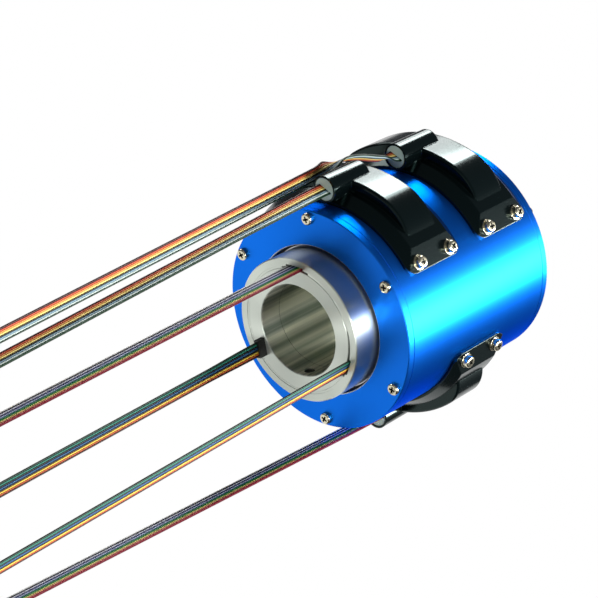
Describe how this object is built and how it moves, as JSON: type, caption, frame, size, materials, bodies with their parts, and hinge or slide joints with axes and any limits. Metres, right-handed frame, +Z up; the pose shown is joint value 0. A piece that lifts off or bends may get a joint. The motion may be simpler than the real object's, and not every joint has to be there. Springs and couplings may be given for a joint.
{
  "type": "slip ring",
  "caption": "Through-bore slip ring with a blue round housing, black moulded hoods and flat ribbon leads.",
  "frame": {"origin": "shaft axis where it crosses the front cover's outer face", "axes": "+Y along the shaft from the front cover to the rear cover, +Z up towards the two upper hoods, leads run towards -Y"},
  "size_m": [0.1268, 0.4317, 0.1562],
  "materials": {
    "blue_anodised": "satin",
    "silver_aluminium": "satin",
    "hood_plastic": "gloss",
    "screw_steel": "polished",
    "bearing_steel": "polished",
    "cage_brass": "satin",
    "black_steel": "matte",
    "shield_black": "matte",
    "ring_silver": "polished",
    "brush_bronze": "polished",
    "insulator": "matte",
    "block_plastic": "matte",
    "sleeve_clear": "satin",
    "boot_rubber": "matte",
    "wire_bundle": "matte",
    "ribbon": "satin"
  },
  "bodies": {
    "rotor": {"rotor_tube": "silver_aluminium", "drive_collar": "silver_aluminium", "lead_collar": "silver_aluminium", "rear_collar": "silver_aluminium", "collar_screws": "black_steel", "set_screws": "black_steel", "ring_carrier": "insulator", "slip_rings": "ring_silver", "ring_wires": "wire_bundle", "lead_boot": "boot_rubber", "rotor_ribbon_top": "ribbon", "rotor_ribbon_side": "ribbon", "rotor_ribbon_boot": "ribbon", "front_bearing_inner": "bearing_steel", "rear_bearing_inner": "bearing_steel"},
    "housing": {"housing_barrel": "blue_anodised", "front_cover": "blue_anodised", "rear_cover": "blue_anodised", "front_cover_screws": "screw_steel", "rear_cover_screws": "screw_steel", "front_bearing_outer": "bearing_steel", "rear_bearing_outer": "bearing_steel", "front_dust_shield": "shield_black", "rear_dust_shield": "shield_black", "front_hood": "hood_plastic", "lower_hood": "hood_plastic", "rear_hood": "hood_plastic", "front_hood_screws": "screw_steel", "lower_hood_screws": "screw_steel", "rear_hood_screws": "screw_steel", "front_hood_washers": "screw_steel", "lower_hood_washers": "screw_steel", "rear_hood_washers": "screw_steel", "front_exit_sleeve": "sleeve_clear", "lower_exit_sleeve": "sleeve_clear", "rear_exit_sleeve": "sleeve_clear", "front_brush_block": "block_plastic", "lower_brush_block": "block_plastic", "rear_brush_block": "block_plastic", "front_brushes": "brush_bronze", "lower_brushes": "brush_bronze", "rear_brushes": "brush_bronze", "front_ribbon": "ribbon", "lower_ribbon": "ribbon", "rear_ribbon": "ribbon"},
    "front_cage": {"front_ball_cage": "cage_brass"},
    "rear_cage": {"rear_ball_cage": "cage_brass"}
  },
  "joints": [
    {"name": "housing_spin", "type": "hinge", "parent": "rotor", "child": "housing", "pos_m": [0, 0, 0], "axis": [0, 1, 0], "continuous": true},
    {"name": "front_cage_roll", "type": "hinge", "parent": "rotor", "child": "front_cage", "pos_m": [0, 0, 0], "axis": [0, 1, 0], "continuous": true},
    {"name": "rear_cage_roll", "type": "hinge", "parent": "rotor", "child": "rear_cage", "pos_m": [0, 0, 0], "axis": [0, 1, 0], "continuous": true}
  ],
  "couplings": [
    {"joint": "front_cage_roll", "follows": "housing_spin", "ratio": 0.535},
    {"joint": "rear_cage_roll", "follows": "housing_spin", "ratio": 0.535}
  ]
}
